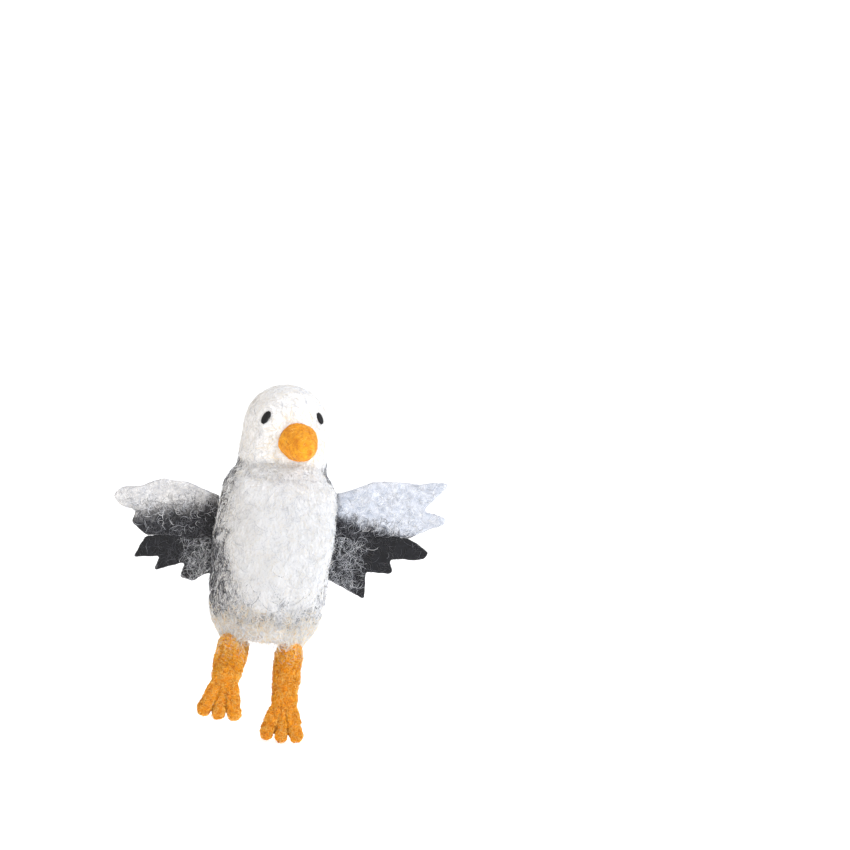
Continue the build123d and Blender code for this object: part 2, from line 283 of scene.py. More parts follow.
def grow_wool(name, ground, tones, count, length, width, seed, comb=None, stray=1.0, curl=0.3,
              lift=0.25, tip=0.0, steps=6, weight=None, tone_at=None):
    """Hairs laid along a felted surface, as one mesh of thin three-sided strands. Sizes are in mm.

    Real wool, at 0.03 to 0.04 mm, is too fine to show, so each strand is 0.1 to 0.22 mm wide and
    stands for a small lock of hairs.
    comb gives the way the hairs run at each root, stray how far they leave it, curl how much they
    wind in radians a step, lift how high the middle stands and tip how high the end stands.
    weight and tone_at give how thickly and in which tones the hairs grow, from the roots' places.
    """
    random = np.random.default_rng(seed)
    mesh = ground.data
    mesh.calc_loop_triangles()
    corners = np.array([v.co for v in mesh.vertices])
    triangles = np.array([t.vertices for t in mesh.loop_triangles])
    a, b, c = (corners[triangles[:, i]] for i in range(3))
    cross = np.cross(b - a, c - a)
    chance = np.linalg.norm(cross, axis=1)
    if weight is not None:
        chance = chance * np.clip(weight((a + b + c) / 3 / mm, unit(cross)), 0, None)
    chosen = random.choice(len(chance), size=count, p=chance / chance.sum())
    u, v = random.random((2, count, 1))
    flip = u + v > 1
    u, v = np.where(flip, 1 - u, u), np.where(flip, 1 - v, v)
    place = a[chosen] + u * (b - a)[chosen] + v * (c - a)[chosen]
    normal = unit(cross[chosen])
    heading = stray * unit(random.normal(size=(count, 3)))
    if comb is not None:
        heading = heading + comb(place / mm, normal)
    tree = BVHTree.FromPolygons([Vector(p) for p in corners], [tuple(t) for t in triangles])
    share = np.arange(steps + 1) / steps
    own_length = length * mm * random.uniform(0.6, 1.3, (count, 1))
    own_lift = lift * mm * random.uniform(0.2, 1.6, (count, 1))
    own_tip = tip * mm * random.uniform(-0.4, 1.3, (count, 1))
    root_depth = 0.05 * mm
    winding = random.normal(0, curl, (count, 1)) + curl * random.choice([-1, 1], (count, 1))
    line, sides, ups = [], [], []
    for s in share:
        heading = unit(heading - normal * np.sum(heading * normal, axis=1, keepdims=True))
        side = np.cross(heading, normal)
        high = own_lift * math.sin(math.pi * s) + own_tip * s**2 - root_depth
        line.append(place + normal * high)
        sides.append(side)
        ups.append(normal)
        turn = winding + random.normal(0, 0.3 * curl, (count, 1))
        heading = heading * np.cos(turn) + side * np.sin(turn)
        ahead = place + heading * own_length / steps
        for i, point in enumerate(ahead):
            hit, facing, _, _ = tree.find_nearest(point)
            ahead[i], normal[i] = hit, facing
        place = ahead
        normal = unit(normal)
    line, sides, ups = np.array(line), np.array(sides), np.array(ups)
    end_share = 0.25
    fullness = np.sin(math.pi * np.clip(share, 0.04, 0.96)) ** 0.6
    thick = width / 2 * mm * (end_share + (1 - end_share) * fullness)
    own_width = random.uniform(0.7, 1.3, (count, 1))
    rings = []
    for turn in (90, 210, 330):
        way = sides * math.cos(math.radians(turn)) + ups * math.sin(math.radians(turn))
        rings.append(line + way * thick[:, None, None] * own_width)
    points = np.stack(rings, axis=1).transpose(2, 0, 1, 3).reshape(-1, 3)
    per = 3 * (steps + 1)
    quads = tube_faces(steps + 1, 3)
    last = 3 * steps
    starts = (np.arange(count) * per)[:, None, None]
    quads = (starts + np.array(quads)[None]).reshape(-1, 4)
    caps = (starts + np.array([(2, 1, 0), (last, last + 1, last + 2)])[None]).reshape(-1, 3)
    chances = np.array([w for _, w in tones], float)
    table = np.repeat(chances[None], count, axis=0)
    if tone_at is not None:
        table = table * np.clip(tone_at(points[::per] / mm), 0, None)
    edges = np.cumsum(table, axis=1)
    picks = (random.random((count, 1)) * edges[:, -1:] > edges).sum(axis=1)
    piece = make_piece(name, points, [*map(tuple, quads), *map(tuple, caps)], tones[0][0])
    for material, _ in tones[1:]:
        piece.data.materials.append(material)
    slots = np.concatenate([np.repeat(picks, 3 * steps), np.repeat(picks, 2)])
    piece.data.polygons.foreach_set("material_index", slots)
    return piece


def ramp(values, low, high):
    """0 below low, 1 above high, and smooth between them."""
    share = np.clip((values - low) / (high - low), 0, 1)
    return share * share * (3 - 2 * share)


def around(places):
    """Degrees round from the breast: 0 in front, 90 at the gull's left, -90 at its right."""
    return np.degrees(np.arctan2(places[:, 0], -places[:, 1]))


def downward(places, normals):
    """Hairs combed straight down."""
    return np.tile([0.0, 0.0, -1.0], (len(places), 1))


head_seam = 57.5
body_rings = [
    (51.5, 6.0, 6.0, 0),
    (55.0, 11.4, 10.8, 0),
    (57.8, 13.2, 12.4, 0),
    (58.4, 14.6, 13.4, 0),
    (56.8, 16.6, 14.7, 0),
    (53.6, 18.5, 15.9, 0.2),
    (50.0, 19.8, 16.8, 0.5),
    (40.0, 20.3, 17.9, 1.0),
    (27.0, 19.9, 17.9, 1.2),
    (14.0, 20.2, 17.9, 0.9),
    (6.0, 18.0, 16.4, 0.6),
    (1.4, 14.4, 14.2, 0.3),
    (-0.8, 12.2, 12.2, 0),
    (0.0, 10.9, 10.9, 0),
    (5.0, 10.6, 10.6, 0),
    (36.0, 10.6, 10.6, 0),
    (45.0, 6.0, 6.0, 0),
]
# Grey and white wool carded together: it gives the eye a speckled pale grey between the hairs, partly
# the wool's own tone and partly painted shade between the curls.
grey_felt = felt("salt_and_pepper_and_painted_shade_felt", "#e4e3e1", "#8d8c8f", hair=0.5, patch=3.2)
body = loft("body_wool_felt", body_rings, 28, grey_felt)
round_off(body, 3)
lump(body, [(11, 0.9), (4, 0.35), (1.3, 0.12)], seed=2)

# Natural sheep's tones: together they give soft whites, creams and greys.
white_hair = wool("white_wool_hair", "#fdfdfd")
ivory_hair = wool("ivory_wool_hair", "#f6f1e8")
cream_hair = wool("cream_wool_hair", "#f8e6c4")
silver_hair = wool("silver_wool_hair", "#d3d5da")
grey_hair = wool("grey_wool_hair", "#8a8b90")
slate_hair = wool("slate_wool_hair", "#4c4d54")
black_hair = wool("black_wool_hair", "#16161a")


def belly_weight(places, normals):
    """All the body that shows, and not inside the sleeve or under the head."""
    radius = np.hypot(places[:, 0], places[:, 1])
    return (radius > bore + sleeve_wall) * (places[:, 2] < head_seam)


def belly_tones(places):
    """Cream at the mouth, dark on the back and the right flank, and white over the belly."""
    height, turn = places[:, 2], around(places)
    rim = 1 - ramp(height, 2, 8)
    back = ramp(np.abs(turn), 75, 115) * (1 - 0.85 * rim)
    edge = 24 + 18 * ramp(height, 14, 30)
    flank = ramp(-turn, edge, edge + 32) * ramp(height, 4, 14) * (1 - 0.6 * ramp(height, 26, 42))
    dark = np.clip(np.maximum(back, flank), 0, 1)
    light = 1 - dark
    pepper = light * (1 - rim)
    return np.stack([
        light * (1.1 - 0.7 * rim) + 0.15 * dark,
        0.7 * light + 0.1 * dark,
        3.0 * light * rim,
        0.6 * light + 0.35 * dark,
        0.12 * pepper + dark,
        0.07 * pepper + 1.5 * dark,
        0.03 * pepper + 1.6 * dark,
    ], axis=1)


body_tones = [
    (white_hair, 1.0), (ivory_hair, 0.5), (cream_hair, 0.45), (silver_hair, 0.9),
    (grey_hair, 0.9), (slate_hair, 0.75), (black_hair, 0.8),
]
belly_curls = grow_wool(
    "belly_curls", body, body_tones, 6200, 4.8, 0.22, 11, comb=downward, stray=2.4, curl=0.55,
    lift=0.4, steps=5, weight=belly_weight, tone_at=belly_tones,
)
body_fuzz = grow_wool(
    "body_fuzz", body, body_tones, 3400, 4.0, 0.11, 12, stray=1.0, curl=0.35,
    lift=0.2, tip=1.5, steps=5, weight=belly_weight, tone_at=belly_tones,
)

# Two fringes are laid along guides that are then taken away: one from the rim over the tops of
# the legs, and one round the foot of the head over the shoulders.
rim_rings = [
    (12, 19.9, 17.9, 0.8),
    (6, 17.9, 17.0, 0.9),
    (3, 16.0, 17.0, 1.4),
    (0, 14.0, 17.8, 2.0),
    (-2.5, 12.8, 18.2, 2.6),
    (-5, 12.0, 18.6, 3.2),
]
guide = loft("rim_guide", rim_rings, 40, grey_felt)


def rim_weight(places, normals):
    """Thickest in front, over the legs, and rooted just above the rim."""
    height, turn = places[:, 2], np.abs(around(places))
    return ramp(height, 0, 2) * (1 - ramp(height, 4, 11)) * (1.15 - ramp(turn, 45, 95))


# Cream wool with a little of the legs' orange carded in: it gives the eye a warm, pale edge.
apricot_hair = wool("apricot_wool_hair", "#f3d3ac")
rim_tones = [
    (ivory_hair, 1.0), (white_hair, 1.0), (cream_hair, 0.5),
    (silver_hair, 0.4), (apricot_hair, 0.12),
]
rim_fringe = grow_wool(
    "rim_fringe", guide, rim_tones, 3400, 3.6, 0.15, 13, comb=downward, stray=1.3, curl=0.6,
    lift=0.4, tip=0.3, steps=5, weight=rim_weight,
)
bpy.data.objects.remove(guide)
shoulder_rings = [
    (64, 15.4, 15.2, 0.3),
    (60.5, 15.1, 14.8, 0.2),
    (58.2, 15.5, 14.6, 0),
    (56.4, 17.1, 15.2, 0),
    (53, 18.9, 16.3, 0.3),
    (49, 20.2, 17.2, 0.6),
]
guide = loft("shoulder_guide", shoulder_rings, 40, grey_felt)


def shoulder_weight(places, normals):
    """Rooted in a band round the foot of the head."""
    return ramp(places[:, 2], 54.5, 56.5) * (1 - ramp(places[:, 2], 59.5, 61.5))


def shoulder_tones(places):
    """White at the throat, dark at the shoulders, and grey behind."""
    side = ramp(np.abs(around(places)), 55, 85)
    return np.stack([
        1.1 - side, 0.4 + 0 * side, 0.15 + 0.45 * side, 0.7 * side, 0.8 * side, 0.7 * side,
    ], axis=1)


shoulder_hair = [
    (white_hair, 1.0), (ivory_hair, 0.6), (silver_hair, 0.8),
    (grey_hair, 1.0), (slate_hair, 0.8), (black_hair, 0.6),
]
shoulder_fringe = grow_wool(
    "shoulder_fringe", guide, shoulder_hair, 2600, 5.0, 0.16, 14, comb=downward, stray=0.9,
    curl=0.35, lift=0.35, steps=5, weight=shoulder_weight, tone_at=shoulder_tones,
)
bpy.data.objects.remove(guide)
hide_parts("body_wool")
for piece in (body, belly_curls, body_fuzz, rim_fringe, shoulder_fringe):
    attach(piece, "body")


# ---- Breast ---------------------------------------------------------------------------------
# A thin sheet of combed white wool laid over the breast and needled down. Its hairs run straight
# down from the throat, and its edges thin out into the grey.
def surface_tree(piece):
    """A piece's faces, to be searched for the nearest point or for where a ray meets them."""
    mesh = piece.data
    return BVHTree.FromPolygons([v.co for v in mesh.vertices], [p.vertices for p in mesh.polygons])


def fleece_patch(name, centre, half_angle, heights, thick, material, seed):
    """A feathered layer on the body. half_angle gives its half width in degrees at a height share."""
    columns, rows = 90, 90
    clear_of_body = 40
    edge_depth, underside_depth = 0.35, 0.6
    points, faces = [], []
    body_tree = surface_tree(body)
    for layer in (1, -1):
        for r in range(rows + 1):
            up = r / rows
            height = heights[0] + (heights[1] - heights[0]) * up
            for c in range(columns + 1):
                across = 2 * c / columns - 1
                turn = math.radians(centre + across * half_angle(up))
                start = Vector((
                    clear_of_body * math.sin(turn), -clear_of_body * math.cos(turn), height
                )) * mm
                way = Vector((-math.sin(turn), math.cos(turn), 0))
                hit, facing, _, _ = body_tree.ray_cast(start, way)
                ragged = 0.25 * noise.noise(Vector((turn * 5, height * 0.4, seed)))
                edge = min(1 - abs(across), 2.2 * up + 0.02, 2.2 * (1 - up) + 0.02) * 3 + ragged
                cover = max(0.0, min(1.0, edge))
                high = thick * cover - edge_depth if layer == 1 else -underside_depth
                points.append(hit + facing * (high * mm))
    ring = (columns + 1) * (rows + 1)

    def at(layer, r, c):
        return layer * ring + r * (columns + 1) + c

    for layer in (0, 1):
        for r in range(rows):
            for c in range(columns):
                faces.append((
                    at(layer, r, c), at(layer, r, c + 1), at(layer, r + 1, c + 1), at(layer, r + 1, c)
                ))
    for r in range(rows):
        for c in (0, columns):
            faces.append((at(0, r, c), at(0, r + 1, c), at(1, r + 1, c), at(1, r, c)))
    for c in range(columns):
        for r in (0, rows):
            faces.append((at(0, r, c), at(0, r, c + 1), at(1, r, c + 1), at(1, r, c)))
    patch = make_piece(name, points, faces, material)
    turn_outward(patch)
    return patch


# Bleached white wool, combed smooth: it gives the eye the brightest and softest of the whites.
white_felt = felt("combed_white_felt", "#fbfaf9", "#e3e4e7", hair=0.4, patch=6, bump=0.25)


def breast_spread(up):
    """Narrow and round at its lower edge, and widening to the shoulders."""
    return 8 + 64 * math.sqrt(1 - (1 - up) ** 2.4)


breast = fleece_patch("breast_layer", 12, breast_spread, (8, 57.6), 1.3, white_felt, 3)


def layer_weight(places, normals):
    """The outside of the layer, thinning towards its lower edge."""
    outward = normals[:, 0] * places[:, 0] + normals[:, 1] * places[:, 1] > 0
    return outward * (0.25 + ramp(places[:, 2], 8, 24)) * (places[:, 2] < head_seam)


def breast_tones(places):
    """White, with silver and grey worked in at the lower edge and by the right wing."""
    low = 1 - ramp(places[:, 2], 12, 26)
    shade = ramp(-around(places), 40, 75)
    return np.stack([
        1 + 0 * low,
        0.3 + 0.8 * shade,
        0.15 + 0.8 * low,
        0.2 * low + 0.35 * shade,
        0.05 * low + 0.2 * shade,
        0.03 * low + 0.15 * shade,
    ], axis=1)


breast_hair = [
    (white_hair, 1.0), (ivory_hair, 0.35), (silver_hair, 0.4),
    (grey_hair, 0.4), (slate_hair, 0.4), (black_hair, 0.4),
]
breast_strokes = grow_wool(
    "breast_strokes", breast, breast_hair, 5200, 8.0, 0.17, 21, comb=downward, stray=0.5, curl=0.14,
    lift=0.3, steps=6, weight=layer_weight, tone_at=breast_tones,
)
fuzz_tones = [(white_hair, 1.0), (ivory_hair, 0.3), (silver_hair, 0.15)]
breast_fuzz = grow_wool(
    "breast_fuzz", breast, fuzz_tones, 4200, 4.2, 0.12, 22, comb=downward, stray=1.5, curl=0.3,
    lift=0.4, tip=1.1, steps=5, weight=layer_weight,
)
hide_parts("chest_fleece")
for piece in (breast, breast_strokes, breast_fuzz):
    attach(piece, "body")


# ---- Mantle ---------------------------------------------------------------------------------
# The gull's grey back: a sheet of slate wool over the shoulders, darkest between the wings.
# Grey wool carded with black: it gives the eye the deep, cool grey of a gull's back.
slate_felt = felt("slate_felt", "#7c7d83", "#2c2c31", hair=0.45, patch=3.5)


def mantle_spread(up):
    """Wider at the shoulders than at the rump."""
    return 62 + 30 * up


mantle = fleece_patch("mantle_layer", 180, mantle_spread, (6, 57.0), 1.2, slate_felt, 5)


def mantle_tones(places):
    """Dark in the middle of the back, and paler at the nape and towards the rim."""
    high = ramp(places[:, 2], 40, 56)
    low = 1 - ramp(places[:, 2], 8, 22)
    return np.stack([
        0.08 + 0.9 * low + 0.3 * high,
        0.35 + low + 0.5 * high,
        1 + 0 * low,
        1.1 - 0.8 * low,
        0.9 - 0.7 * low,
    ], axis=1)


mantle_hair = [
    (white_hair, 0.5), (silver_hair, 0.6), (grey_hair, 1.0), (slate_hair, 1.0), (black_hair, 0.8),
]
mantle_strokes = grow_wool(
    "mantle_strokes", mantle, mantle_hair, 5800, 7.5, 0.2, 31, comb=downward, stray=0.9, curl=0.25,
    lift=0.35, steps=5, weight=layer_weight, tone_at=mantle_tones,
)
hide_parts("mantle_fleece")
for piece in (mantle, mantle_strokes):
    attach(piece, "body")


# ---- Head -----------------------------------------------------------------------------------
# A ball of white wool needled firm, drawn down at the back and the cheeks into a soft neck that
# is tucked into the body. It is carried a little turned.
head_turn = math.radians(10)
neck_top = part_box("neck_wool")[1].z / mm
neck_z = (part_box("neck_wool")[0].z / mm + neck_top) / 2
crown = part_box("head_wool")[1].z / mm
pivot = Vector((0, 0, neck_z)) * mm
head_place = Matrix.Translation(pivot) @ Matrix.Rotation(head_turn, 4, "Z")
head_rings = [
    (crown - neck_z + 0.3, 2.2, 2.2, 0.4),
    (crown - neck_z - 1.0, 7.0, 6.8, 0.6),
    (crown - neck_z - 4.4, 11.4, 11.2, 0.8),
    (crown - neck_z - 9.6, 14.2, 14.0, 0.8),
    (12.5, 15.0, 14.8, 0.5),
    (8.0, 15.3, 15.1, 0.4),
    (4.5, 15.3, 15.1, 0.5),
    (2.2, 15.0, 14.8, 0.5),
    (0.6, 14.6, 14.2, 0.2),
    (-1.2, 14.4, 13.5, 0),
    (-4.0, 13.4, 12.6, 0),
    (-6.5, 9.0, 9.0, 0),
    (-7.2, 4.0, 4.0, 0),
]
# White wool needled firm: it gives the eye a smoother, tighter white than the breast.
head_felt = felt("firm_white_felt", "#faf9f8", "#e0dedd", hair=0.4, patch=5, bump=0.2)
head = loft("head_wool_felt", head_rings, 28, head_felt, head_place)
round_off(head, 3)
lump(head, [(9, 0.5), (3, 0.2), (1.1, 0.08)], seed=4)


def head_weight(places, normals):
    """Only above the seam. The neck below it is inside the body."""
    return ramp(places[:, 2], neck_z - 4.5, neck_z - 1)


def swept_back(places, normals):
    """Hairs run from the beak over the crown and down the nape."""
    face = np.array([math.sin(head_turn), -math.cos(head_turn), 0.0])
    away = places - (np.array([0, 0, neck_z + 10]) + 18 * face)
    return unit(away)


beak_turn = head_turn + math.radians(8)
beak_reach, beak_rise = 13.2, 9.7
beak_base = Vector((
    beak_reach * math.sin(beak_turn), -beak_reach * math.cos(beak_turn), neck_z + beak_rise
)) * mm


def head_tones(places):
    """White, a little yellow round the beak and under it, and grey low on the nape."""
    from_beak = places - np.array(beak_base / mm) + np.array([0, 0, 1.5])
    near = 1 - ramp(np.linalg.norm(from_beak, axis=1), 7.5, 10.5)
    nape = ramp(np.abs(around(places)), 70, 115) * (1 - ramp(places[:, 2], neck_z, neck_z + 7))
    return np.stack([
        1 - 0.6 * nape, 0.4 + near, 0.12 + 1.2 * nape, 1.4 * near, 1.3 * nape, 0.8 * nape,
    ], axis=1)


head_hair = [
    (white_hair, 1.0), (ivory_hair, 1.0), (silver_hair, 1.0),
    (cream_hair, 1.0), (grey_hair, 1.0), (slate_hair, 1.0),
]
head_strokes = grow_wool(
    "head_strokes", head, head_hair, 6000, 5.0, 0.15, 41, comb=swept_back, stray=0.9, curl=0.3,
    lift=0.15, steps=5, weight=head_weight, tone_at=head_tones,
)
head_fuzz = grow_wool(
    "head_fuzz", head, head_hair[:2], 1600, 3.2, 0.1, 42, stray=1.0, curl=0.4, lift=0.2, tip=0.7,
    steps=5, weight=head_weight,
)
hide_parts("head_wool", "neck_wool")
for piece in (head, head_strokes, head_fuzz):
    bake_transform(piece)


# ---- Beak -----------------------------------------------------------------------------------
# A blunt cone of amber wool, needled hard until its surface is nearly smooth, with a few hairs
# left lying over it. Its base is needled into the face.
beak_droop = math.tan(math.radians(18))
beak_way = Vector((math.sin(beak_turn), -math.cos(beak_turn), -beak_droop)).normalized()
beak_place = Matrix.Translation(beak_base) @ beak_way.to_track_quat("Z", "Y").to_matrix().to_4x4()
# Dyed wool needled hard: it gives the eye a close, waxy amber with rusty patches and no fuzz.
amber_felt = felt("hard_amber_felt", "#f9b01e", "#cb7408", hair=0.4, patch=2.6, bump=0.3, sheen=0.06)
beak_rings = [
    (-1.5, 5.6, 5.6, 0),
    (0.8, 7.0, 6.9, 0),
    (3.0, 6.7, 6.5, 0),
    (6.5, 5.5, 5.2, 0),
    (9.8, 4.2, 3.9, 0),
    (12.0, 2.8, 2.6, 0),
    (12.9, 1.2, 1.2, 0),
]
beak = loft("beak_felt", beak_rings, 20, amber_felt, beak_place)
round_off(beak, 3)
lump(beak, [(4, 0.4), (1.2, 0.1)], seed=6)
amber_hair = wool("amber_wool_hair", "#f7a618", sheen=0.03)
rust_hair = wool("rust_wool_hair", "#c87610", sheen=0.03)
honey_hair = wool("honey_wool_hair", "#ffcb60", sheen=0.03)
beak_hair = [(amber_hair, 1.0), (rust_hair, 0.6), (honey_hair, 0.35)]
beak_strokes = grow_wool(
    "beak_strokes", beak, beak_hair, 900, 3.0, 0.13, 51, stray=1.0, curl=0.35, lift=0.08, steps=5,
)
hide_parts("beak")
for piece in (beak, beak_strokes):
    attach(piece, "head")

# ---- Eyes -----------------------------------------------------------------------------------
# Each eye is sewn in black cotton thread: satin stitches laid side by side into an oval, which
# stand a little proud of the wool. They are matt, with the ply showing.
# Dyed cotton: it gives the eye a soft black, with a dull light along each stitch.
thread, _ = matt_material("black_cotton_thread", {"Base Color": linear("#0e0d10"), "Roughness": 0.7})
head_tree = surface_tree(head)
stitches, stitch_rings, stitch_sides = 13, 13, 8
thread_radius, ply_depth = 0.21, 0.12
stitch_rise, stitch_arch = 0.25, 0.5
for side, lean, half_width, half_height in (("right", -22, 1.5, 2.35), ("left", 22, 1.35, 2.0)):
    node = f"eye_{side}"
    low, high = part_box(node)
    centre, out, _, _ = head_tree.find_nearest((low + high) / 2)
    facing = out.to_track_quat("Z", "Y").to_matrix().to_4x4()
    place = Matrix.Translation(centre) @ facing @ Matrix.Rotation(math.radians(lean), 4, "Z")
    points, faces = [], []
    for k in range(stitches):
        up = (2 * (k + 0.5) / stitches - 1) * half_height
        reach = half_width * math.sqrt(max(0.05, 1 - (up / half_height) ** 2))
        for s in range(stitch_rings):
            share = 2 * s / (stitch_rings - 1) - 1
            bow = math.sqrt(max(0, 1 - share * share))
            arch = stitch_arch * bow * reach / half_width + stitch_rise
            for i in range(stitch_sides):
                turn = 2 * math.pi * i / stitch_sides
                radius = thread_radius * (1 + ply_depth * math.sin(2 * turn + 9 * share + k))
                spot = (share * reach, up + radius * math.cos(turn), arch + radius * math.sin(turn))
                points.append(place @ (Vector(spot) * mm))
        base = k * stitch_rings * stitch_sides
        last = base + (stitch_rings - 1) * stitch_sides
        faces += [tuple(base + i for i in face) for face in tube_faces(stitch_rings, stitch_sides)]
        faces.append(tuple(base + i for i in range(stitch_sides))[::-1])
        faces.append(tuple(last + i for i in range(stitch_sides)))
    eye = make_piece(f"{node}_stitches", points, faces, thread)
    turn_outward(eye)
    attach(eye, "head")
    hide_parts(node)


# ---- Wings ----------------------------------------------------------------------------------
# Each wing is a pad of felt cut by hand into feathers: light grey coverts above, and a thinner
# black layer below. The clean cut shows firm, slightly rounded edges. White and grey hairs are
# needled over the join, and thickest at the root.
def felted_copy(name, nodes, voxel, passes, material):
    """A soft skin round CAD solids: remeshed, and smoothed so that its edges turn over."""
    work = bmesh.new()
    for node in nodes:
        work.from_mesh(frame["nodes"][node].data)
    mesh = bpy.data.meshes.new(name)
    work.to_mesh(mesh)
    work.free()
    piece = bpy.data.objects.new(name, mesh)
    bpy.context.scene.collection.objects.link(piece)
    remesh = piece.modifiers.new("remesh", "REMESH")
    remesh.mode = "VOXEL"
    remesh.voxel_size = voxel * mm
    soften = piece.modifiers.new("soften", "SMOOTH")
    soften.factor = 0.5
    soften.iterations = passes
    apply_modifiers(piece)
    piece.data.materials.clear()
    piece.data.materials.append(material)
    piece.data.polygons.foreach_set("use_smooth", [True] * len(piece.data.polygons))
    return piece


def shaded_felt(name, light, middle, dark, low, high, lean, **finish):
    """Felt that runs from dark at height low to light at height high, in mm.

    lean is how fast the line between them climbs along the wing. The two wools were carded into
    each other, so the line wanders by up to 7 mm, which gives the eye a smoky edge.
    """
    wander_by = 7
    material = felt(name, light, middle, **finish)
    tree = material.node_tree
    shader = tree.nodes["Principled BSDF"]
    colour = shader.inputs["Base Color"].links[0].from_socket
    place = next(n for n in tree.nodes if n.bl_idname == "ShaderNodeTexCoord").outputs["Object"]
    axes = add_node(material, "ShaderNodeSeparateXYZ", (), {0: place})
    cloud = add_node(
        material,
        "ShaderNodeTexNoise",
        {"Scale": 1 / (3.5 * mm), "Detail": 6.0, "Roughness": 0.7},
        {"Vector": place},
    )

    def math_node(operation, values, *sources):
        settings = {"operation": operation, **values}
        return add_node(material, "ShaderNodeMath", settings, dict(enumerate(sources))).outputs[0]

    outward = math_node("ABSOLUTE", {}, axes.outputs["X"])
    slope = math_node("MULTIPLY", {1: -lean}, outward)
    height = math_node("ADD", {}, axes.outputs["Z"], slope)
    wander = math_node(
        "MULTIPLY_ADD", {1: 2 * wander_by * mm, 2: -wander_by * mm}, cloud.outputs["Fac"]
    )
    line = math_node("ADD", {}, height, wander)
    share = add_node(
        material,
        "ShaderNodeMapRange",
        {"interpolation_type": "SMOOTHSTEP", "From Min": low * mm, "From Max": high * mm},
        {"Value": line},
    )
    mixed = add_node(
        material,
        "ShaderNodeMix",
        {"data_type": "RGBA", 6: linear(dark)},
        {0: share.outputs["Result"], 7: colour},
    )
    tree.links.new(mixed.outputs[2], shader.inputs["Base Color"])
    return material


def outward_from_root(places, normals):
    """Along the feathers, away from the body and a little down."""
    way = np.zeros((len(places), 3))
    way[:, 0] = np.sign(places[:, 0])
    way[:, 2] = -0.25
    return way


# For each wing: where its dark edge lies and how it climbs, the tones of its coverts, and the size
# and area of its two flat cut pieces in metres.
wing_shades = {
    "right": {
        "edge": (48, 57), "lean": -0.28, "seed": 60,
        "light": "#e0dedb", "middle": "#aeacab", "dark": "#121216",
        "coverts": ((0.0197, 0.0362), 0.00059), "flights": ((0.0196, 0.027), 0.000315),
    },
    "left": {
        "edge": (47, 53), "lean": -0.2, "seed": 70,
        "light": "#dcdfe6", "middle": "#a0a8b6", "dark": "#121217",
        "coverts": ((0.0226, 0.0383), 0.000683), "flights": ((0.0271, 0.0335), 0.000457),
    },
}
# Black sheet felt: it gives the eye a flat, sooty black with a clean cut edge.
black_felt = felt("cut_black_felt", "#17181d", "#060608", hair=0.5, patch=2.2, bump=0.3, sheen=0.06)
root_out = 22
wing_span = 36
wing_middle_y = 2 * mm


def droop(piece, seed):
    """Thins a wing towards its tip, bows the tip forward, and lets the felt wave a little."""
    thinning, bow, wave, ripple = 0.4, 2.0 * mm, 0.5 * mm, 0.45 * mm
    for vertex in piece.data.vertices:
        out = max(0.0, abs(vertex.co.x) - root_out * mm) / (wing_span * mm)
        from_middle = (vertex.co.y - wing_middle_y) * (1 - thinning * out)
        vertex.co.y = wing_middle_y + from_middle - bow * out * out
        vertex.co.y += wave * noise.noise(vertex.co / (9 * mm) + Vector((seed, 0, 0)))
        vertex.co.z += ripple * noise.noise(vertex.co / (5 * mm) + Vector((0, seed, 0)))


def flight_tones(places):
    """Black, with white and silver needled over the root."""
    root = 1 - ramp(np.abs(places[:, 0]), 25, 33)
    return np.stack([
        0.03 + 1.2 * root,
        0.05 + 2 * root,
        0.2 + 1.2 * root,
        1.0 - 0.5 * root,
        1.3 - 0.7 * root,
    ], axis=1)


def flight_weight(places, normals):
    """Thickest at the root, and nearly bare at the feather tips."""
    return 0.16 + 1.2 * (1 - ramp(np.abs(places[:, 0]), 24, 36))


covert_hair = [
    (white_hair, 0.6), (silver_hair, 1.0), (grey_hair, 0.55), (slate_hair, 0.7), (black_hair, 0.6),
]
flight_hair = [
    (white_hair, 0.3), (silver_hair, 0.35), (grey_hair, 0.35), (slate_hair, 0.8), (black_hair, 1.2),
]
for side, shade in wing_shades.items():
    seed = shade["seed"]
    low, high = shade["edge"]
    covert_felt = shaded_felt(
        f"{side}_covert_felt", shade["light"], shade["middle"], shade["dark"], low, high,
        shade["lean"], hair=0.45, patch=2.4, bump=0.4, sheen=0.06,
    )
    coverts = felted_copy(
        f"wing_{side}_coverts_felt", [f"wing_{side}_coverts"], 0.45, 16, covert_felt
    )
    flights = felted_copy(
        f"wing_{side}_flight_felt", [f"wing_{side}_flight_feathers"], 0.4, 13, black_felt
    )
    for piece in (coverts, flights):
        droop(piece, seed)
        lump(piece, [(3, 0.3), (1.0, 0.1)], seed)

    def covert_tones(places, low=low, high=high, lean=shade["lean"]):
        """Follows the felt under it, from black at the lower edge to silver at the top."""
        height = places[:, 2] - lean * np.abs(places[:, 0])
        light = ramp(height, low - 1, high + 2)
        return np.stack([
            0.05 + light,
            0.15 + 0.9 * light,
            0.5 - 0.4 * light,
            1.1 * (1 - light),
            1.2 * (1 - light),
        ], axis=1)

    covert_strokes = grow_wool(
        f"wing_{side}_covert_strokes", coverts, covert_hair, 3000, 4.0, 0.13, seed + 1,
        comb=outward_from_root, stray=1.5, curl=0.5, lift=0.1, steps=5, tone_at=covert_tones,
    )
    flight_strokes = grow_wool(
        f"wing_{side}_flight_strokes", flights, flight_hair, 2200, 4.5, 0.11, seed + 2,
        comb=outward_from_root, stray=1.3, curl=0.3, lift=0.12, steps=5,
        weight=flight_weight, tone_at=flight_tones,
    )
    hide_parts(f"wing_{side}_coverts")
    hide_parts(f"wing_{side}_flight_feathers")
    for piece, slot in ((coverts, "light_felt"), (covert_strokes, "light_felt"),
                        (flights, "black_felt"), (flight_strokes, "black_felt")):
        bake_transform(piece)

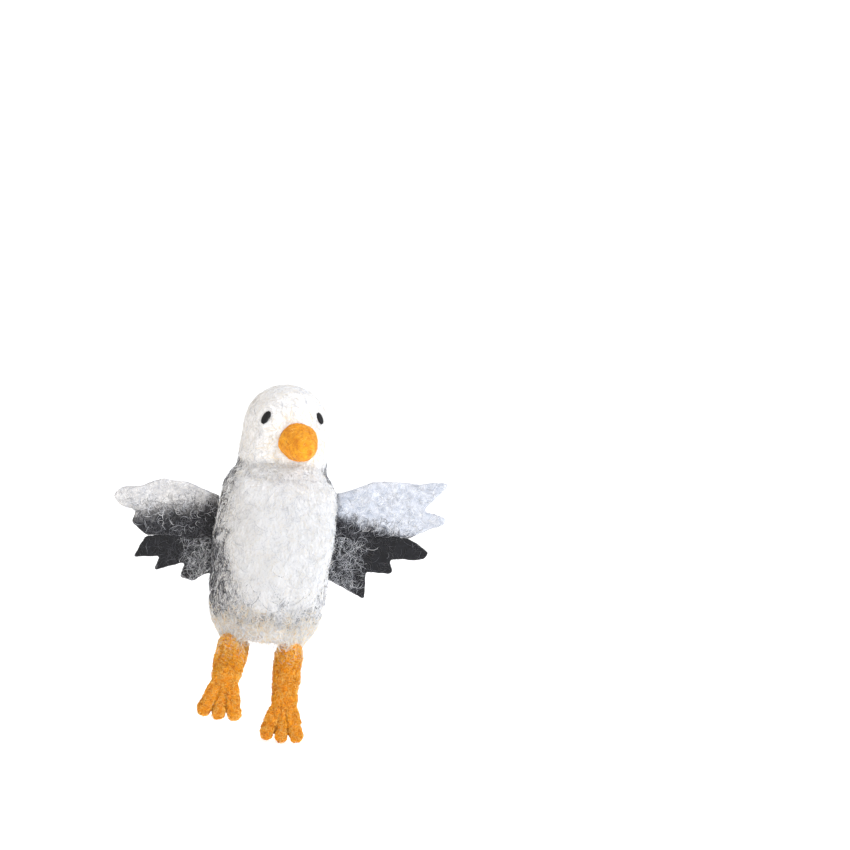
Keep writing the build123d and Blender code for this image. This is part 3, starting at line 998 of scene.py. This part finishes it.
# ---- Legs -----------------------------------------------------------------------------------
# Rolls of orange wool, needled only enough to hold, so they are covered in small tight curls that
# catch the light. They pale to apricot at the top, where they are needled into the cream rim.
# Dyed wool, loosely needled: it gives the eye a deep orange with bright curls standing off it.
orange_felt = felt(
    "curly_orange_felt", "#f6a20e", "#c06804", hair=0.5, patch=1.6, bump=0.6, sheen=0.05
)
orange_hair = wool("orange_wool_hair", "#ffb010", sheen=0.03)
ochre_hair = wool("ochre_wool_hair", "#e08a06", sheen=0.03)
leg_hair = [(orange_hair, 1.0), (honey_hair, 1.2), (ochre_hair, 0.5), (apricot_hair, 0.2)]
leg_rings = [
    (3.0, 1.6, 1.6),
    (2.2, 3.6, 3.2),
    (0, 4.9, 4.4),
    (-4, 5.0, 4.6),
    (-9, 4.8, 4.3),
    (-13, 4.5, 4.1),
    (-17, 4.3, 3.9),
    (-19.2, 3.2, 3.0),
    (-20.2, 1.2, 1.2),
]
tuft_rings = [
    (3.9, 1.3, 1.3, 0),
    (2.8, 3.0, 3.0, 0),
    (0, 4.0, 4.0, 0),
    (-2.8, 3.0, 3.0, 0),
    (-3.9, 1.3, 1.3, 0),
]
joint_places = {joint["name"]: Vector(joint["pos_m"]) for joint in frame["joints"]}


def press_creases(foot, to_foot):
    """The creases between the toes run up the foot, where the wool was stabbed deepest."""
    half_gap, spread, half_wide, deep = 1.5, 0.2, 0.55, 0.9
    toes_at, starts_at, fade = 7, 2.5, 3
    mesh = foot.data
    for vertex, normal in zip(mesh.vertices, [n.vector.copy() for n in mesh.vertex_normals]):
        at = to_foot @ vertex.co / mm
        off_line = (abs(at.x) - half_gap - spread * (-at.z - toes_at)) / half_wide
        crease = math.exp(-(off_line ** 2)) * min(1, max(0, (-at.z - starts_at) / fade))
        vertex.co -= normal * (deep * crease * mm)


# For each leg: its random seed, its thickness, and how its foot is tilted and turned, in degrees.
leg_ways = (("right", 80, 1.0, 10.0, 4.5), ("left", 90, 0.87, 12.0, -1.0))
for side, seed, wide, foot_pitch, splay in leg_ways:
    hip = joint_places[f"leg_{side}_swing"]
    ankle = joint_places[f"ankle_{side}_flex"]
    upward = (hip - ankle).normalized()
    leg_place = Matrix.Translation(hip) @ upward.to_track_quat("Z", "Y").to_matrix().to_4x4()
    own_rings = [(z, wide * across, wide * deep, 0) for z, across, deep in leg_rings]
    leg = loft(f"leg_{side}_felt", own_rings, 16, orange_felt, leg_place)
    round_off(leg, 2)
    lump(leg, [(5, 0.6), (1.8, 0.25)], seed)

    def leg_tones(places, top=hip.z / mm):
        """Orange and honey, and apricot at the top."""
        high = ramp(places[:, 2], top - 6, top + 1)
        return np.stack([1 - 0.7 * high, 0.8 + 0.3 * high, 1 - 0.8 * high, 0.03 + 4 * high], axis=1)

    leg_curls = grow_wool(
        f"leg_{side}_curls", leg, leg_hair, 2600, 2.7, 0.2, seed + 1, stray=1.0, curl=0.75,
        lift=0.55, steps=6, tone_at=leg_tones,
    )
    tuft = loft(f"hip_{side}_tuft", tuft_rings, 16, orange_felt, Matrix.Translation(hip))
    round_off(tuft, 2)
    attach(tuft, f"hip_{side}")
    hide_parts(f"hip_wool_{side}")
    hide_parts(f"leg_{side}")
    for piece in (leg, leg_curls):
        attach(piece, f"leg_{side}")

    toes = [f"toe_{side}_{place}" for place in ("inner", "middle", "outer")]
    foot = felted_copy(f"foot_{side}_felt", [f"instep_{side}", *toes], 0.35, 9, orange_felt)
    to_foot = (Matrix.Translation(ankle) @ Matrix.Rotation(math.radians(splay), 4, "Y")
               @ Matrix.Rotation(math.radians(-foot_pitch), 4, "X")).inverted()
    press_creases(foot, to_foot)
    lump(foot, [(3.5, 0.4), (1.5, 0.2)], seed + 3)
    foot_curls = grow_wool(
        f"foot_{side}_curls", foot, leg_hair, 3200, 2.4, 0.19, seed + 4, stray=1.0, curl=0.75,
        lift=0.35, steps=6, tone_at=leg_tones,
    )
    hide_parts(f"instep_{side}", *toes)
    for piece in (foot, foot_curls):
        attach(piece, f"foot_{side}")

# ---- Floor, light and camera ----------------------------------------------------------------
# A white paper sweep just under the toes, lit from beneath like a light table, and a large soft
# key light from the gull's left, a little cool, with a warm dim fill from its right.
floor_z = cad_box[0].z - 0.6 * mm
# Matt paper with light behind it: it gives the eye an even white with hardly a shadow.
paper, _ = matt_material("white_paper", {
    "Base Color": linear("#f6f6f6"),
    "Roughness": 0.9,
    "Emission Color": linear("#ffffff"),
    "Emission Strength": 0.5,
})
sweep_front, sweep_back, sweep_top, sweep_half_width, sweep_bend = -1.6, 1.0, 2.4, 3.0, 0.5
sweep_points, sweep_faces = [], []
profile = [(sweep_front, 0.0)]
for turn in np.linspace(0, math.pi / 2, 17):
    back = sweep_back - sweep_bend + sweep_bend * math.sin(turn)
    profile.append((back, sweep_bend - sweep_bend * math.cos(turn)))
profile.append((sweep_back, sweep_top))
for back, up in profile:
    for across in (-sweep_half_width, sweep_half_width):
        sweep_points.append((across, back, floor_z + up))
for k in range(len(profile) - 1):
    sweep_faces.append((2 * k, 2 * k + 1, 2 * k + 3, 2 * k + 2))
sweep = make_piece("paper_sweep", sweep_points, sweep_faces, paper)

world = bpy.data.worlds.new("studio")
world.use_nodes = True
sky = world.node_tree.nodes["Background"]
sky.inputs["Color"].default_value = linear("#ffffff")
sky.inputs["Strength"].default_value = 0.46
bpy.context.scene.world = world


def soft_light(name, place, target, size, power, code):
    """A square lamp, size in metres and power in watts, that faces a target."""
    lamp = bpy.data.lights.new(name, "AREA")
    lamp.size = size
    lamp.energy = power
    lamp.color = linear(code)[:3]
    holder = bpy.data.objects.new(name, lamp)
    holder.location = place
    holder.rotation_mode = "QUATERNION"
    holder.rotation_quaternion = (Vector(target) - Vector(place)).to_track_quat("-Z", "Y")
    bpy.context.scene.collection.objects.link(holder)


soft_light("key", (0.55, -0.55, 0.55), (0, 0, 0.03), 0.4, 5.4, "#f2f6ff")
soft_light("front", (0.12, -0.95, 0.0), (0, 0, 0.02), 0.6, 3.0, "#ffffff")
soft_light("fill", (-0.7, -0.6, 0.2), (0, 0, 0.03), 0.6, 1.2, "#ffe6cc")
bpy.context.scene.view_settings.view_transform = "Standard"

# A long lens 0.8 m away, rolled a little, so that the gull leans to its left.
camera_data = bpy.data.cameras.new("camera")
camera_data.lens = 98.2
camera_data.clip_start, camera_data.clip_end = 0.01, 20
camera = bpy.data.objects.new("camera", camera_data)
bpy.context.scene.collection.objects.link(camera)
lean = math.radians(6.2)
eye_place = Vector((0.0, -0.8, 0.03))
look_at = Vector((0.0476, 0, 0.0798))
forward = (look_at - eye_place).normalized()
up = Vector((-math.sin(lean), 0, math.cos(lean)))
across = forward.cross(up).normalized()
facing = Matrix((across, across.cross(forward), -forward)).transposed().to_4x4()
camera.matrix_world = Matrix.Translation(eye_place) @ facing
bpy.context.scene.camera = camera
